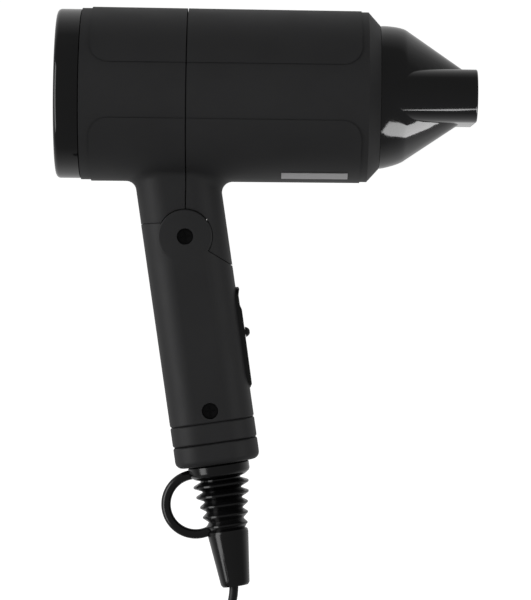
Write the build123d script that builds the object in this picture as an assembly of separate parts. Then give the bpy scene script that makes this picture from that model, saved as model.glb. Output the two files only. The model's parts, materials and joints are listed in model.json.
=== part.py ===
from build123d import *
import math
import os

# A folding hair dryer. Millimetres, +Z up, +X where the nozzle points, barrel axis parallel to X.
# The origin is the middle of the grip. Barrel parts are drawn about the barrel's own axis with
# x = 0 at the split between its two shells. Handle parts are drawn about the hinge pin, with
# their x towards the front of the grip and their z up the grip.

# Placing
handle_tilt = 8.9            # degrees, grip bottom towards the nozzle
pin_above_grip = 50.0        # along the grip, from its middle
pin_below_barrel = 61.6
tilt = math.radians(handle_tilt)
pin_x = -pin_above_grip * math.sin(tilt)
pin_z = pin_above_grip * math.cos(tilt)
handle_place = Location((pin_x, 0, pin_z), (0, -handle_tilt, 0))
barrel_place = Location((pin_x, 0, pin_z + pin_below_barrel))
neck_place = Location((0, 0, -pin_below_barrel), (0, -handle_tilt, 0))

# Barrel
wall = 2.2
seam_gap = 0.5
shell_back = -45.6
shoulder_x = 77.9
mouth_x = 83.0
shell_back_r = 37.1
shoulder_r = 36.75
mouth_r = 31.1
bore_r = 34.6
mouth_bore_r = 28.0
pad_back = -41.2
pad_front = 74.8
pad_back_r = 37.65
pad_front_r = 37.2
nozzle_base = 83.2
nozzle_knee = 94.5           # where the dome turns into a cone
nozzle_rise = 1.0            # the cone's axis above the barrel's axis
nozzle_front = 124.3
slot_wide = 61.0
slot_tall = 22.8
side_band = 12.0             # half height of the flush band between the raised pads
pad_corner = 8.0

# Neck, handle and hinge
grip_width = 36.6            # fore and aft
grip_depth = 32.0
grip_corner = 12.5
neck_depth = 28.8
neck_fillet = 4.5
hinge_gap = 0.3
knuckle_r = 11.7
tongue_half = 6.2
slot_half = 6.5
tab_half = 3.0
rib_half = 5.8
rib_in_r = 11.3              # inner radius of the rib and tab that close the seams
tongue_r = 11.1
rear_seam_up = 5.8
rear_seam_slope = 3.0
front_seam_angle = 30.2      # below the barrel's axis
pin_r = 3.0
pin_bore_r = 3.05
recess_r = 3.5
fold_range = 75.0
handle_bottom = -99.0
collar_top = -89.6
groove_h = -80.9
groove_r = 1.0               # radius of the moulded edges beside the groove and the collar
screw_h = -75.7

# Switches, measured down the grip from the pin
plate_top = 24.3
plate_bottom = 68.5
plate_width = 16.0
knob_s = 44.3
knob_travel = 10.0
button_s = 30.0

# Strain relief, hanging loop and cord
boot_bottom = -152.6
rib_first = -108.1
rib_pitch = 4.45
rib_r = [12.1, 11.5, 10.5, 9.9, 9.1]
loop_centre = (-12.1, -115.2)
loop_r = 12.9
loop_wire_r = 2.1
cord_thick = 3.9
cord_width = 6.2
boot_grip = 10.6             # how far the cord is held inside the strain relief
hank_x = -16.0
hank_half = 36.0             # hank middle to the centre of an end loop
hank_z = -156.0 - hank_half
hank_end_r = 28.9
hank_waist = 14.5
hank_depth = 14.0
plug_x = 28.8
plug_top = hank_z + 12.0


def turned(points):
    """A solid of revolution about X from (x, radius) points."""
    return revolve(make_face(Polyline(*points, close=True)), Axis.X)


def ring(x0, x1, outer, inner):
    """A plain tube along X."""
    return turned([(x0, inner), (x1, inner), (x1, outer), (x0, outer)])


def rod(x0, x1, radius):
    """A plain cylinder along X."""
    return turned([(x0, 0), (x1, 0), (x1, radius), (x0, radius)])


def cross_rod(radius, y0, y1, x=0.0, z=0.0):
    """A cylinder along Y."""
    middle = Location((x, (y0 + y1) / 2, z), (90, 0, 0))
    return middle * Cylinder(radius, y1 - y0)


def block(x0, x1, y0, y1, z0, z1):
    """A box between two corners."""
    centre = ((x0 + x1) / 2, (y0 + y1) / 2, (z0 + z1) / 2)
    return Pos(*centre) * Box(x1 - x0, y1 - y0, z1 - z0)


def bar(width, depth, corner, z0, z1):
    """A bar along Z with rounded corners."""
    return extrude(Pos(0, 0, z0) * RectangleRounded(width, depth, corner), z1 - z0)


def side_cut(points, half=60.0):
    """An outline seen from the side, carried through along Y."""
    return extrude(Plane.XZ * make_face(Polyline(*points, close=True)), half, both=True)


# ---- barrel ----

def raised_pad(side):
    """The softly raised panel above (1) or below (-1) the side bands."""
    height = 60.0
    middle = ((pad_back + pad_front) / 2, side * (side_band + height / 2))
    panel = Pos(*middle) * Rectangle(pad_front - pad_back, height)
    near = sorted(panel.vertices(), key=lambda v: abs(v.Y))[:2]
    panel = fillet(near, pad_corner)
    skin = turned([(pad_back, 0), (pad_back, pad_back_r), (pad_front, pad_front_r), (pad_front, 0)])
    return skin & extrude(Plane.XZ * panel, 50, both=True)


def neck_outline(drop, lift):
    """The neck above its seams with the handle; drop lowers its edge, lift raises it."""
    z = -pin_below_barrel
    slope = math.tan(math.radians(rear_seam_slope))
    down = math.radians(front_seam_angle)
    reach = 40.0
    shift = lift - drop
    rear_level = z + rear_seam_up + shift
    start = shift / math.cos(down)
    return side_cut([
        (-reach, rear_level - reach * slope + 10.2 * slope),
        (0, rear_level + 10.2 * slope),
        (0, z + start),
        (reach * math.cos(down), z + start - reach * math.sin(down)),
        (reach, 30),
        (-reach, 30),
    ])


def neck_bar(shrink, bottom, top):
    """The neck's bar along the tilted grip direction."""
    corner = grip_corner - shrink
    section = bar(grip_width - 2 * shrink, neck_depth - 2 * shrink, corner, bottom, top)
    return neck_place * section


def pin_rod(radius, y0, y1):
    """A cylinder about the hinge pin, in the barrel's frame."""
    return cross_rod(radius, y0, y1, 0, -pin_below_barrel)


def barrel_body():
    """Both barrel shells as one hollow piece, before the split."""
    body = turned([(shell_back, 0), (shell_back, shell_back_r), (shoulder_x, shoulder_r),
                   (mouth_x, mouth_r), (mouth_x, 0)])
    body += raised_pad(1)
    body += raised_pad(-1)
    neck = neck_bar(0, -25, 32) & neck_outline(0, 0)
    body += neck
    joint = [e for e in body.edges() if neck_edge(e)]
    body = fillet(joint, neck_fillet)
    body -= pin_rod(knuckle_r + hinge_gap, -20, 20)
    hollow = turned([(shell_back - 1, 0), (shell_back - 1, bore_r), (shoulder_x - 2.5, bore_r),
                     (mouth_x - 2.0, mouth_bore_r), (mouth_x + 1, mouth_bore_r), (mouth_x + 1, 0)])
    inside = neck_bar(wall, -25, 42) & neck_outline(0, wall)
    inside -= pin_rod(knuckle_r + hinge_gap + wall, -20, 20)
    body -= hollow + inside
    return body - neck_place * block(-10.1, 10.1, -tongue_half - 0.15, tongue_half + 0.15, 5, 22)


def neck_edge(edge):
    """True for the edges where the neck runs into the barrel's underside."""
    box = edge.bounding_box()
    low = -pad_back_r - 0.5
    return low < box.min.Z and box.max.Z < -26 and box.min.X > -32 and box.max.X < 26


def seam_tab():
    """The tab under the neck's front edge that closes the front seam from inside."""
    outer = 23.0
    seam = -front_seam_angle - handle_tilt
    above, below = math.radians(seam + 3.0), math.radians(seam - 4.5)
    wedge = [(0, 0), (outer * math.cos(below), outer * math.sin(below)),
             (outer * math.cos(above), outer * math.sin(above))]
    tab = side_cut(wedge, tab_half) & bar(grip_width - 0.6, neck_depth - 0.6, grip_corner - 0.3, -30, 30)
    return neck_place * (tab - cross_rod(rib_in_r, -20, 20))


def knuckle_rib():
    """The rib between the cheeks that closes the gap round the knuckle from inside."""
    rib = cross_rod(knuckle_r + hinge_gap + 0.5, -rib_half, rib_half) - cross_rod(rib_in_r, -20, 20)
    return neck_place * (rib & block(10.2, 20, -20, 20, -20, 20)) & neck_outline(0, 0)


def barrel_shells():
    """Rear and front shell, split square across the barrel and down the neck."""
    body = barrel_body()
    rear = body & block(-80, -seam_gap / 2, -50, 50, -110, 50)
    front = body & block(seam_gap / 2, 100, -50, 50, -110, 50)
    neck_gap = neck_bar(wall - 0.1, -25, 42)
    edge = seam_gap / 2
    lip = ring(-3, edge, bore_r - 0.1, bore_r - 1.2) + ring(edge, 3, bore_r + 0.1, bore_r - 1.2)
    return {"rear_shell": rear, "front_shell": front + (lip - neck_gap) + knuckle_rib() + seam_tab()}


def rating_label():
    """The blank label low on the near side, ahead of the neck."""
    back, front = 41.0, 69.5
    slope = (pad_front_r - pad_back_r) / (pad_front - pad_back)
    under = [(x, pad_back_r + slope * (x - pad_back) + 0.03) for x in (back, front)]
    skin = turned(under + [(x, radius + 0.25) for x, radius in reversed(under)])
    low = math.radians(73.9)
    high = math.radians(64.6)
    far = 50.0
    wedge = [(0, 0), (-far * math.cos(low), -far * math.sin(low)),
             (-far * math.cos(high), -far * math.sin(high))]
    face = Plane.YZ * make_face(Polyline(*wedge, close=True))
    return skin & extrude(face, 80)


def inlet_cap():
    """The glossy rear cap with its ring grille and the spigot that plugs into the shell."""
    back = -56.4
    rim = 2.0
    cap = turned([(back, 31), (back, 36.6), (shell_back - 0.1, 36.6), (shell_back - 0.1, 34.3),
                  (-39.5, 34.3), (-39.5, 32.7), (back + 3, 32.7), (back + 3, 31)])
    outer = [e for e in cap.edges().filter_by(GeomType.CIRCLE) if e.radius > 36]
    cap = fillet(sorted(outer, key=lambda e: e.center().X)[:1], rim)
    for radius in (7.5, 11.5, 15.5, 19.5, 23.5, 27.5):
        cap += ring(back + 1.0, back + 2.6, radius, radius - 1.5)
    for step in range(8):
        spoke = block(back + 1.0, back + 3.0, -0.9, 0.9, 3.5, 31.5)
        cap += Rot(45 * step, 0, 0) * spoke
    return cap + rod(back + 0.8, back + 2.8, 4.2)


def dust_filter():
    """The fine gauze disc behind the rear grille."""
    return rod(-52.6, -52.1, 32.4)


def air_duct():
    """The duct ring, its motor hub and the fixed vanes between them."""
    duct = ring(-38, 5, 33.2, 31.8) + ring(-24, 4, 14.8, 13.3)
    for step in range(9):
        vane = Rot(0, 0, 18) * Box(16, 1.2, 17.4)
        duct += Rot(40 * step + 20, 0, 0) * Pos(-9, 0, 23.2) * vane
    return duct + rod(4, 5.5, 14.8)


def motor():
    """The small direct-current motor can with its rear boss."""
    return rod(-22, 3.8, 13.0) + ring(-24, -22, 4.0, 1.1) - rod(-22.5, -6, 1.1)


def fan():
    """The axial fan on the motor shaft."""
    wheel = ring(-36, -27, 9.5, 1.0) + ring(-36, -34.5, 9.5, 1.0)
    for step in range(7):
        blade = Rot(0, 0, 35) * Box(9.5, 1.3, 22.5)
        wheel += Rot(360 / 7 * step, 0, 0) * Pos(-31, 0, 19.6) * blade
    return wheel & ring(-36.5, -26, 31.0, 0.99)


def heater_rings(minor):
    """Rings along the heater where the wire is wound."""
    rings = [Pos(x, 0, 0) * Rot(0, 90, 0) * Torus(24.0, minor) for x in (18, 28, 38, 48, 58)]
    return rings


def mica_cross():
    """Two crossed mica boards, notched for the wire."""
    cross = block(10, 66, -0.4, 0.4, -29, 29) + block(10, 66, -29, 29, -0.4, 0.4)
    for wire in heater_rings(1.9):
        cross -= wire
    return cross


def outlet_grille():
    """The guard in front of the heater."""
    guard = ring(69.5, 72, 34.1, 31.5)
    for radius in (5.5, 11.5, 17.5, 23.5, 29.0):
        guard += ring(70, 71.5, radius, radius - 1.2)
    for step in range(6):
        guard += Rot(60 * step, 0, 0) * block(70, 71.5, -0.7, 0.7, 4.6, 32)
    return guard


def nozzle_disc(x, radius):
    """A section of the nozzle's dome, which rises a little towards its cone."""
    share = min(1.0, (x - nozzle_base) / (nozzle_knee - nozzle_base))
    return Plane.YZ.offset(x) * Pos(0, nozzle_rise * share) * Circle(radius)


def nozzle_dome(bulge, tip):
    """The closed dome through its bulging discs and on along a cone to the tip."""
    discs = [nozzle_disc(x, radius) for x, radius in bulge]
    return loft(discs) + loft([discs[-1], nozzle_disc(*tip)], ruled=True)


def nozzle_slot(start, length, shrink):
    """The flat slot tube as a solid."""
    outline = SlotOverall(slot_wide - 2 * shrink, slot_tall - 2 * shrink)
    return extrude(Plane.YZ.offset(start) * outline, length)


def nozzle():
    """The push-on nozzle: a dome that runs into a flat slot tube."""
    skin = 1.6
    body = nozzle_dome([(nozzle_base, 30.9), (86.5, 30.6), (89.5, 30.0), (92, 29.3), (nozzle_knee, 28.1)],
                       (119.4, 11.2))
    body += nozzle_slot(85, nozzle_front - 85, 0)
    lip = [e for e in body.edges() if e.bounding_box().min.X > nozzle_front - 0.5]
    body = fillet(lip, 0.7)
    hollow = nozzle_dome([(nozzle_base - 0.1, 26.2), (88, 27.8), (91, 27.4), (nozzle_knee, 26.0)],
                         (116, 11.4))
    hollow += nozzle_slot(90, 40, skin)
    spigot = ring(76.5, nozzle_base + 0.5, 27.7, 26.2)
    return body - hollow + spigot


def pivot_block():
    """The tongue that the hinge pin passes through, clamped inside the neck."""
    tongue = cross_rod(tongue_r, -tongue_half, tongue_half)
    stem = block(-9.0, 9.9, -tongue_half, tongue_half, 0, 24)
    flange = bar(grip_width - 2 * wall - 0.4, neck_depth - 2 * wall - 0.4, 10, 20, 24)
    body = tongue + stem + flange
    body -= cross_rod(pin_bore_r, -20, 20)
    return neck_place * (body - Pos(-6.6, 0, 10) * Cylinder(2.2, 60))


# ---- handle ----

def handle_below_seams():
    """Everything under the two seams with the neck, in the handle's frame."""
    keep = block(-60, 60, -60, 60, -200, 60) - neck_outline_at_handle(0.3)
    return keep


def neck_outline_at_handle(drop):
    """The neck's outline moved into the handle's frame."""
    return neck_place.inverse() * neck_outline(drop, 0)


def neck_sweep():
    """The room that the neck's front lobe turns through, as it folds into the handle."""
    lean = math.cos(math.radians(front_seam_angle + handle_tilt))
    half_w = grip_width / 2
    half_d = neck_depth / 2
    room = 0.35
    corner = half_d - grip_corner
    steps = 10
    rim = []
    for step in range(steps + 1):
        angle = math.radians(90 * step / steps)
        x = half_w - grip_corner + grip_corner * math.cos(angle)
        y = corner + grip_corner * math.sin(angle)
        rim.append((x / lean + room, y + room))
    face = make_face(Polyline((0, -rim[-1][1]), *[(x, -y) for x, y in reversed(rim)], *rim,
                              (0, rim[-1][1]), close=True))
    whole = revolve(face, Axis.Y)
    start = math.radians(-front_seam_angle - handle_tilt + 12)
    end = math.radians(-front_seam_angle - handle_tilt - fold_range - 6)
    middle = (start + end) / 2
    far = 60.0
    wedge = side_cut([(0, 0), (far * math.cos(start), far * math.sin(start)),
                      (far * math.cos(middle), far * math.sin(middle)),
                      (far * math.cos(end), far * math.sin(end))])
    cheeks = cross_rod(knuckle_r + 0.05, -20, 20) - cross_rod(20, -slot_half, slot_half)
    return (whole & wedge) - cheeks


def handle_body():
    """Both handle shells as one hollow piece, before the split."""
    grip = bar(grip_width, grip_depth, grip_corner, groove_h, 14)
    grip = fillet(grip.edges().group_by(Axis.Z)[0], groove_r)
    band = bar(grip_width, grip_depth, grip_corner, collar_top, groove_h)
    band = fillet(band.edges().group_by(Axis.Z)[0] + band.edges().group_by(Axis.Z)[-1], groove_r)
    body = (grip + band) & handle_below_seams()
    body += bar(grip_width - 5, grip_depth - 5, grip_corner - 2.5, handle_bottom + 1.5, collar_top)
    cheeks = fillet(cross_rod(knuckle_r, -grip_depth / 2, grip_depth / 2).edges(), 0.8)
    body -= cross_rod(knuckle_r + 0.001, -20, 20) & block(-60, 60, -60, 60, -0.01, 60)
    body += cheeks
    body -= cross_rod(knuckle_r + hinge_gap, -slot_half, slot_half)
    body -= neck_sweep()
    inner = bar(grip_width - 2 * wall, grip_depth - 2 * wall, grip_corner - wall, groove_h + wall, -12.4)
    inner += bar(grip_width - 9, grip_depth - 9, grip_corner - 4.5, -95.3, groove_h + wall)
    body -= inner
    body -= Pos(0, 0, -97) * Cylinder(8.2, 12)
    body += side_posts()
    body -= screw_ways(0) + screw_ways(screw_h)
    return body - plate_window()


def side_posts():
    """The boss inside the lower grip that the handle screw passes through."""
    return cross_rod(5.0, -grip_depth / 2 + 1, grip_depth / 2 - 1, 0, screw_h)


def screw_ways(z):
    """A screw's recess in the near side, its clearance hole and the nut's seat."""
    hole = 1.6
    if z == 0:
        hole = pin_r
    way = cross_rod(recess_r, -20, -11, 0, z) + cross_rod(hole, -12, 12, 0, z)
    return way + cross_rod(recess_r, 11, 13.6, 0, z)


def plate_window():
    """The window in the front of the grip for the switch plate."""
    middle = -(plate_top + plate_bottom) / 2
    outline = RectangleRounded(plate_width - 3, plate_bottom - plate_top - 3, 4.5)
    return extrude(Plane.YZ.offset(10) * Pos(0, middle) * outline, 20)


def handle_shells():
    """Near (left) and far (right) handle shells, split down the middle of the grip."""
    body = handle_body()
    gap = 0.1
    near = body & block(-40, 40, -40, -gap, -120, 20)
    far = body & block(-40, 40, gap, 40, -120, 20)
    return {"left_handle_shell": near, "right_handle_shell": far}


def end_collar():
    """The sleeve that holds the bottom of the two shells together."""
    sleeve = bar(grip_width, grip_depth, grip_corner, handle_bottom, collar_top - 0.2)
    sleeve = fillet(sleeve.edges().group_by(Axis.Z)[0], 3.0)
    sleeve = fillet(sleeve.edges().group_by(Axis.Z)[-1], groove_r)
    inner = bar(grip_width - 4.8, grip_depth - 4.8, grip_corner - 2.4, handle_bottom + 1.4, collar_top)
    return sleeve - inner - Pos(0, 0, -97) * Cylinder(8.2, 12)


def switch_plate():
    """The panel in the front of the grip, dished round the upper button."""
    face = grip_width / 2
    side = side_cut([
        (face - 2.4, -plate_top), (face + 1.2, -plate_top - 0.2), (face + 1.5, -plate_top - 1.2),
        (face + 0.9, -plate_top - 3.2), (face + 0.55, -plate_top - 5.7),
        (face + 0.75, -plate_top - 8.2), (face + 1.35, -plate_top - 10.2),
        (face + 1.35, -plate_top - 12.0), (face + 1.1, -plate_bottom + 1.5),
        (face + 0.2, -plate_bottom), (face - 2.4, -plate_bottom)])
    middle = -(plate_top + plate_bottom) / 2
    outline = RectangleRounded(plate_width, plate_bottom - plate_top, 7.0)
    body = extrude(Plane.YZ.offset(face - 6) * Pos(0, middle) * outline, 10) & side
    body -= bar(grip_width, grip_depth, grip_corner, -90, -10)
    seat = RectangleRounded(plate_width - 3.2, plate_bottom - plate_top - 3.2, 4.4)
    body += extrude(Plane.YZ.offset(face - 2.4) * Pos(0, middle) * seat, 2.9)
    slot = Plane.YZ.offset(10) * Pos(0, -knob_s - knob_travel / 2) * SlotOverall(knob_travel + 4.4, 3.4, 90)
    body -= extrude(slot, 20)
    return body - extrude(Plane.YZ.offset(10) * Pos(0, -button_s) * RectangleRounded(9.6, 6.6, 2.8), 20)


def speed_slider():
    """The slide knob with the carriage under the plate."""
    face = grip_width / 2
    base = face + 1.45
    profile = make_face(Polyline((face - 2.6, 0), (face - 2.6, 1.3), (base, 1.3), (base, 2.3),
                                 (base + 1.0, 1.9), (base + 1.7, 1.25), (base + 1.95, 0.6),
                                 (base + 1.95, 0), close=True))
    knob = Pos(0, 0, -knob_s) * revolve(profile, Axis.X)
    return knob + block(face - 4.0, face - 2.6, -5, 5, -knob_s - 13, -knob_s + 7.5)


def cool_button():
    """The upper button, sprung outwards, with its guide stem."""
    face = grip_width / 2
    cap = extrude(Plane.YZ.offset(face - 2.4) * Pos(0, -button_s) * RectangleRounded(9.0, 6.0, 2.5), 3.2)
    cap = fillet(cap.faces().sort_by(Axis.X)[-1].edges(), 0.5)
    flange = block(face - 3.6, face - 2.6, -5.4, 5.4, -button_s - 3.9, -button_s + 3.9)
    link = block(face - 2.7, face - 2.3, -3, 3, -button_s - 2, -button_s + 2)
    stem = Pos(0, 0, -button_s) * rod(face - 6.5, face - 3.5, 1.2)
    return cap + flange + link + stem


def button_spring():
    """The coil spring round the button's stem, drawn as a sleeve."""
    return Pos(0, 0, -button_s) * ring(8.2, 13.5, 2.4, 1.6)


def electrics():
    """The board in the grip and what is soldered to it."""
    board = block(3.2, 4.8, -10, 10, -70, -27.5)
    slide_switch = block(4.9, 13.9, -6, 6, -knob_s - 17, -knob_s + 8)
    micro_switch = block(4.9, 8.0, -4, 4, -button_s - 4.5, -button_s + 2)
    capacitor = block(-6.8, 3.1, -7, 7, -66, -52)
    leads = Pos(-8.2, -3, -74) * Cylinder(1.1, 40.5) + Pos(-8.2, 3, -74) * Cylinder(1.1, 40.5)
    return {"circuit_board": board, "speed_switch": slide_switch, "cool_switch": micro_switch,
            "noise_capacitor": capacitor, "handle_leads": leads}


def hinge_parts():
    """Pin sleeve, screw, nut and the two washers beside the tongue."""
    sleeve = cross_rod(pin_r - 0.01, -11, 11) - cross_rod(1.6, -12, 12)
    head = cross_rod(3.2, -13.2, -11.05) - block(-2.2, 2.2, -14, -12.3, -0.4, 0.4)
    screw = head - block(-0.4, 0.4, -14, -12.3, -2.2, 2.2) + cross_rod(1.5, -11.5, 13.2)
    nut = cross_rod(3.3, 11.05, 13.4) - cross_rod(1.51, 10, 14)
    gap = (tongue_half + slot_half) / 2
    washer = cross_rod(7.0, gap - 0.1, gap + 0.1) - cross_rod(pin_r + 0.2, 5, 8)
    washers = washer + washer.mirror(Plane.XZ)
    return {"hinge_sleeve": sleeve, "hinge_screw": screw, "hinge_nut": nut, "hinge_washers": washers}


def handle_screw():
    """The self-tapping screw in the lower grip."""
    z = screw_h
    head = cross_rod(3.2, -13.2, -11.05, 0, z) - block(-2.2, 2.2, -14, -12.3, z - 0.4, z + 0.4)
    head -= block(-0.4, 0.4, -14, -12.3, z - 2.2, z + 2.2)
    return head + cross_rod(1.5, -11.5, 10.5, 0, z)


# ---- strain relief, loop and cord ----

def strain_relief():
    """The ribbed rubber strain relief with its hanging loop."""
    points = [(0, -94.6), (7.2, -94.6), (11.0, -95.0), (11.0, -95.2), (8.0, -95.25), (8.0, -99.1),
              (12.6, -99.1), (13.3, -99.8), (13.3, -102.6), (12.8, -103.6), (11.0, -104.9), (8.8, -105.6)]
    for step, radius in enumerate(rib_r):
        z = rib_first - rib_pitch * step
        core = 8.7 - 0.25 * step
        points += [(core, z + 2.0), (radius - 0.5, z + 0.75), (radius, z + 0.35), (radius, z - 0.35),
                   (radius - 0.5, z - 0.75), (core, z - 2.0)]
    points += [(8.6, -128.4), (8.9, -129.6), (6.3, boot_bottom + 1.0), (5.6, boot_bottom),
               (0, boot_bottom)]
    profile = make_face(Plane.XZ * Polyline(*points, close=True))
    body = revolve(profile, Axis.Z)
    wire = Pos(loop_r, 0, 0) * Circle(loop_wire_r)
    start = 72.0
    loop = revolve(wire, Axis((0, 0, 0), (0, -1, 0)), 232)
    loop = Location((loop_centre[0], 0, loop_centre[1]), (0, -start, 0)) * loop
    return body + loop


def cord_tube(points, name):
    """A flat cord along straight runs joined by arcs; its wide side stays along Y."""
    corners = [Vector(x, 0, z) for x, z in points]
    radii = []
    for before, corner, after in zip(corners, corners[1:], corners[2:]):
        turn = (corner - before).get_angle(after - corner)
        shorter = min((corner - before).length, (after - corner).length)
        radii.append(0.45 * shorter / math.tan(math.radians(turn) / 2))
    path = FilletPolyline(*corners, radius=radii)
    start = Plane(origin=corners[0], x_dir=(0, 1, 0), z_dir=corners[1] - corners[0])
    section = start * SlotOverall(cord_width, cord_thick)
    tube = sweep(section, path)
    print(name, "radii", [round(r, 1) for r in radii], "volume", round(tube.volume),
          "section times length", round(section.area * path.length))
    return tube


def cord_lead():
    """From inside the strain relief down to the top of the hank."""
    bottom = handle_place * Pos(0, 0, boot_bottom)
    held = handle_place * Pos(0, 0, boot_bottom + boot_grip)
    start = (held.position.X, held.position.Z)
    exit_point = (bottom.position.X, bottom.position.Z)
    return cord_tube([start, exit_point, (13.2, -114.3), (11.2, -128.2), (11.0, -142.2)], "cord_lead")


def plug_lead():
    """From the hank's shoulder to the plug that hangs beside it."""
    return cord_tube([(11.4, -147.5), (14.2, -155.5), (20.6, -164.5), (26.8, -173.5),
                      (plug_x, plug_top - 5.0)], "plug_lead")


def cord_hank():
    """The outer shape of the folded cord: two end loops drawn together at the waist by the tie."""
    spread = hank_end_r - hank_waist
    hollow_r = (hank_half ** 2 / spread - hank_end_r - hank_waist) / 2
    hollow_x = hank_waist + hollow_r
    share = hank_end_r / (hank_end_r + hollow_r)
    outline = Rectangle(2 * share * hollow_x, 2 * (1 - share) * hank_half)
    for side in (1, -1):
        outline += Pos(0, side * hank_half) * Circle(hank_end_r)
    for side in (1, -1):
        outline -= Pos(side * hollow_x, 0) * Circle(hollow_r)
    return Pos(hank_x, 0, hank_z) * extrude(Plane.XZ * outline, hank_depth / 2, both=True)


def cord_tie():
    """The band round the middle of the hank."""
    inner = (2 * hank_waist + 1.2, hank_depth + 0.4)
    band = bar(inner[0] + 1.6, inner[1] + 1.6, 1.2, -4, 4) - bar(*inner, 0.4, -5, 5)
    return Pos(hank_x, 0, hank_z) * band


def plug():
    """The moulded plug with its tapered strain relief, and the two round pins."""
    relief = 26.0
    body_tall = 36.0
    pin_gap = 19.0
    pin_long = 19.0
    body_top = plug_top - relief
    body_low = body_top - body_tall
    cone = Pos(0, 0, plug_top - relief / 2) * Cone(7.0, 4.4, relief)
    head = loft([Pos(0, 0, body_top + 1) * RectangleRounded(14, 18, 6),
                 Pos(0, 0, body_top - 14) * RectangleRounded(25, 35, 11)])
    foot = extrude(Pos(0, 0, body_low) * RectangleRounded(25, 35, 11), body_tall - 14)
    pins = [Pos(0, y, body_low - pin_long / 2) * Cylinder(2.4, pin_long)
            for y in (-pin_gap / 2, pin_gap / 2)]
    rounded = [fillet(pin.edges().group_by(Axis.Z)[0], 1.2) for pin in pins]
    place = Pos(plug_x, 0, 0)
    return {"plug_body": place * (cone + head + foot), "plug_pins": place * Compound(children=rounded)}


def write(name, shape, place=None):
    """Export one sub-part, moved from its own frame into the model's."""
    if place is not None:
        shape = place * shape
    shape.label = name
    export_step(shape, "parts/" + name + ".step")


def main():
    for name, shape in barrel_shells().items():
        write(name, shape, barrel_place)
    write("rating_label", rating_label(), barrel_place)
    write("inlet_cap", inlet_cap(), barrel_place)
    write("dust_filter", dust_filter(), barrel_place)
    write("air_duct", air_duct(), barrel_place)
    write("motor", motor(), barrel_place)
    write("motor_shaft", rod(-37.5, -6.5, 0.99), barrel_place)
    write("fan", fan(), barrel_place)
    write("mica_sleeve", ring(8, 68, 31.2, 30.6), barrel_place)
    write("mica_boards", mica_cross(), barrel_place)
    write("heating_coils", Compound(children=heater_rings(1.5)), barrel_place)
    write("thermostat", Pos(8, 0, 0) * block(44, 52, 0.5, 4.5, 6, 14), barrel_place)
    write("thermal_fuse", Pos(56, -2.2, 10) * Rot(0, 90, 0) * Cylinder(1.6, 9), barrel_place)
    write("outlet_grille", outlet_grille(), barrel_place)
    write("nozzle", nozzle(), barrel_place)
    write("pivot_block", pivot_block(), barrel_place)
    for name, shape in handle_shells().items():
        write(name, shape, handle_place)
    write("end_collar", end_collar(), handle_place)
    write("switch_plate", switch_plate(), handle_place)
    write("speed_slider", speed_slider(), handle_place)
    write("cool_button", cool_button(), handle_place)
    write("button_spring", button_spring(), handle_place)
    for name, shape in {**electrics(), **hinge_parts()}.items():
        write(name, shape, handle_place)
    write("handle_screw", handle_screw(), handle_place)
    write("strain_relief", strain_relief(), handle_place)
    write("cord_lead", cord_lead())
    write("plug_lead", plug_lead())
    write("cord_hank", cord_hank())
    write("cord_tie", cord_tie())
    for name, shape in plug().items():
        write(name, shape)


main()
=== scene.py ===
import json
import math

import bmesh
import bpy
from mathutils import Matrix, Vector


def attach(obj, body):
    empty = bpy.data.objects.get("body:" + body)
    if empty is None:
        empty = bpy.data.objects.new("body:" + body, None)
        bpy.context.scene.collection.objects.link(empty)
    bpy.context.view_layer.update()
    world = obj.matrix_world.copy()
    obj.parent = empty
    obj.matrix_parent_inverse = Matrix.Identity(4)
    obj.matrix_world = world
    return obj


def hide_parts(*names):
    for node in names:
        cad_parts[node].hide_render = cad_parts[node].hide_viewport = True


bl_info = {
    "name": "Folding hair dryer",
    "version": (1, 0, 0),
    "blender": (4, 5, 0),
    "location": "3D View > Sidebar > Hair dryer",
    "description": "Finishes a folding hair dryer round its fixed frame",
    "category": "Object",
}

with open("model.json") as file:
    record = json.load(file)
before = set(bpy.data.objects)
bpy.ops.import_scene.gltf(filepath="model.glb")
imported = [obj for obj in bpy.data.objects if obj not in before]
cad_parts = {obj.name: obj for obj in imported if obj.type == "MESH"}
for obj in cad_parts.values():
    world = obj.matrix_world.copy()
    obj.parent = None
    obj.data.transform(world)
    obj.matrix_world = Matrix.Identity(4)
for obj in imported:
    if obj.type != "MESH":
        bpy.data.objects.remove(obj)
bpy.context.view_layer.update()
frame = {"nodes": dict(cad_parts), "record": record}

MM = 0.001
NODE_BODY = {n: body for body, members in frame["record"]["behaviour"]["bodies"].items() for n in members}

# The handle leans, and turns in the barrel about a pin; the barrel's axis is parallel to X.
TILT = math.radians(8.9)
AXIS_ABOVE_PIN = 61.6
PIN = Vector((-50.0 * math.sin(TILT), 0.0, 50.0 * math.cos(TILT)))
BARREL = Matrix.Translation(Vector((PIN.x, 0.0, PIN.z + AXIS_ABOVE_PIN)) * MM)
ALONG_X_TO_Z = Matrix.Rotation(math.radians(90), 4, "Y")

# Flat cord
CORD_WIDE = 6.2
CORD_THICK = 3.9
HANK_X = -16.0
HANK_Z = -192.0
HANK_HALF = 36.0
HANK_END_RADII = (26.8, 22.7, 18.6)
HANK_WAISTS = (10.25, 6.15, 2.05)
HANK_LAYER_Y = 3.2
PLUG_X = 28.8
PLUG_TOP = -180.0
PLUG_LONG = 62.0
PIN_HALF_SPACING = 9.5
CORD_EXIT = (15.873, 0, -101.365)      # where the cord leaves the strain relief
CORD_RESOLUTION = 6

# Inlet cap, along the barrel's axis
CAP_BACK = -56.4
GAUZE_X = -52.4

# Studio, in metres
VIEW_CENTRE_X = 0.0272
VIEW_CENTRE_Z = 0.0226
SENSOR_WIDTH = 36.0
LOW_BOX_X = 0.415
LOW_BOX_Y = -0.096
LOW_BOX_TURN = math.radians(44.5)


# ---- small helpers ----

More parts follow.
